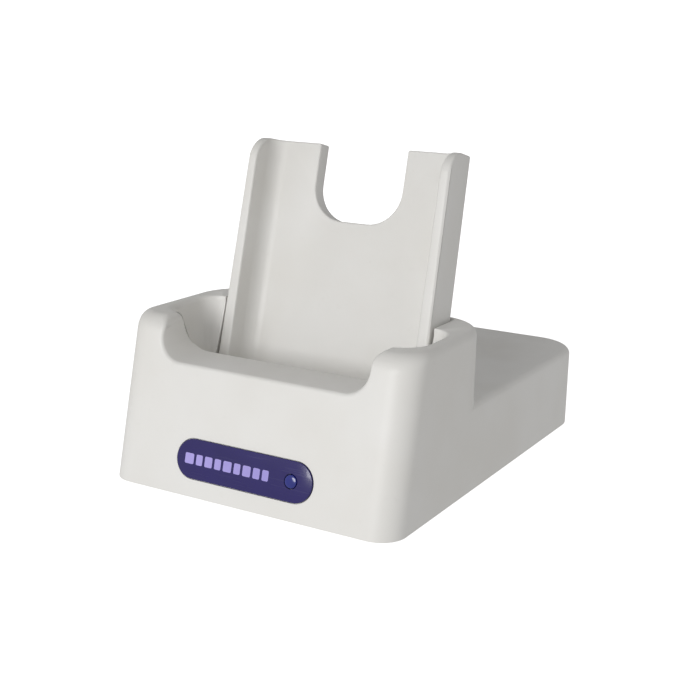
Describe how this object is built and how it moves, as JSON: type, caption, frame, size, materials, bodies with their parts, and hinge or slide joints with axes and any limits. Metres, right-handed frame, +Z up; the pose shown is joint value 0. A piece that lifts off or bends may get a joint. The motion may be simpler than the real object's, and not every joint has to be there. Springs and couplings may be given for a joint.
{
  "type": "desktop charging and sync cradle for a personal digital assistant",
  "caption": "Desktop cradle for a handheld: leaning backrest with side wings and finger notch, funnel pocket with sprung contacts, low rear deck with sockets.",
  "frame": {"origin": "centre of the footprint, on the plane the feet rest on", "axes": "+Z up, +Y from the front face to the rear face, +X to the right seen from the front"},
  "size_m": [0.12, 0.176, 0.1231],
  "materials": {
    "shell": "off-white moulded plastic, faint grain",
    "cover": "off-white moulded plastic",
    "badge": "deep indigo, glossy",
    "lens": "translucent blue",
    "led": "clear epoxy",
    "board": "green solder mask",
    "chip": "moulded epoxy",
    "black": "black moulded plastic",
    "steel": "zinc plated",
    "gold": "gold plated brass",
    "ballast": "plain steel bar",
    "ferrite": "ferrite",
    "rubber": "soft rubber",
    "cable": "flat cable"
  },
  "bodies": {
    "base": {"upper_housing": "shell", "backrest": "shell", "backrest_rear_cover": "cover", "bottom_cover": "cover", "front_badge": "badge", "status_lens": "lens", "status_led": "led", "led_board": "board", "led_cable": "cable", "led_header": "black", "main_board": "board", "charge_controller": "chip", "interface_chip": "chip", "power_inductor": "ferrite", "ribbon_header": "black", "contact_ribbon": "cable", "smoothing_capacitor_1": "black", "smoothing_capacitor_2": "black", "dc_jack": "black", "data_port": "steel", "contact_carrier": "black", "contact_board": "board", "ballast_bar": "ballast", "contact_spring_1": "steel", "contact_spring_2": "steel", "contact_spring_3": "steel", "contact_spring_4": "steel", "contact_spring_5": "steel", "contact_spring_6": "steel", "housing_screw_1": "steel", "housing_screw_2": "steel", "housing_screw_3": "steel", "housing_screw_4": "steel", "board_screw_1": "steel", "board_screw_2": "steel", "board_screw_3": "steel", "board_screw_4": "steel", "ballast_screw_1": "steel", "ballast_screw_2": "steel", "backrest_screw_1": "steel", "backrest_screw_2": "steel", "contact_screw_1": "steel", "contact_screw_2": "steel", "rubber_foot_1": "rubber", "rubber_foot_2": "rubber", "rubber_foot_3": "rubber", "rubber_foot_4": "rubber"},
    "pin_1": {"contact_pin_1": "gold"},
    "pin_2": {"contact_pin_2": "gold"},
    "pin_3": {"contact_pin_3": "gold"},
    "pin_4": {"contact_pin_4": "gold"},
    "pin_5": {"contact_pin_5": "gold"},
    "pin_6": {"contact_pin_6": "gold"}
  },
  "joints": [
    {"name": "contact_1_travel", "type": "slide", "parent": "base", "child": "pin_1", "axis": [0, -0.2334, -0.9724], "range_m": [0, 0.0016], "stiffness_N_per_m": 300, "springref_m": -0.001, "deforming": ["contact_spring_1"]},
    {"name": "contact_2_travel", "type": "slide", "parent": "base", "child": "pin_2", "axis": [0, -0.2334, -0.9724], "range_m": [0, 0.0016], "stiffness_N_per_m": 300, "springref_m": -0.001, "deforming": ["contact_spring_2"]},
    {"name": "contact_3_travel", "type": "slide", "parent": "base", "child": "pin_3", "axis": [0, -0.2334, -0.9724], "range_m": [0, 0.0016], "stiffness_N_per_m": 300, "springref_m": -0.001, "deforming": ["contact_spring_3"]},
    {"name": "contact_4_travel", "type": "slide", "parent": "base", "child": "pin_4", "axis": [0, -0.2334, -0.9724], "range_m": [0, 0.0016], "stiffness_N_per_m": 300, "springref_m": -0.001, "deforming": ["contact_spring_4"]},
    {"name": "contact_5_travel", "type": "slide", "parent": "base", "child": "pin_5", "axis": [0, -0.2334, -0.9724], "range_m": [0, 0.0016], "stiffness_N_per_m": 300, "springref_m": -0.001, "deforming": ["contact_spring_5"]},
    {"name": "contact_6_travel", "type": "slide", "parent": "base", "child": "pin_6", "axis": [0, -0.2334, -0.9724], "range_m": [0, 0.0016], "stiffness_N_per_m": 300, "springref_m": -0.001, "deforming": ["contact_spring_6"]}
  ]
}
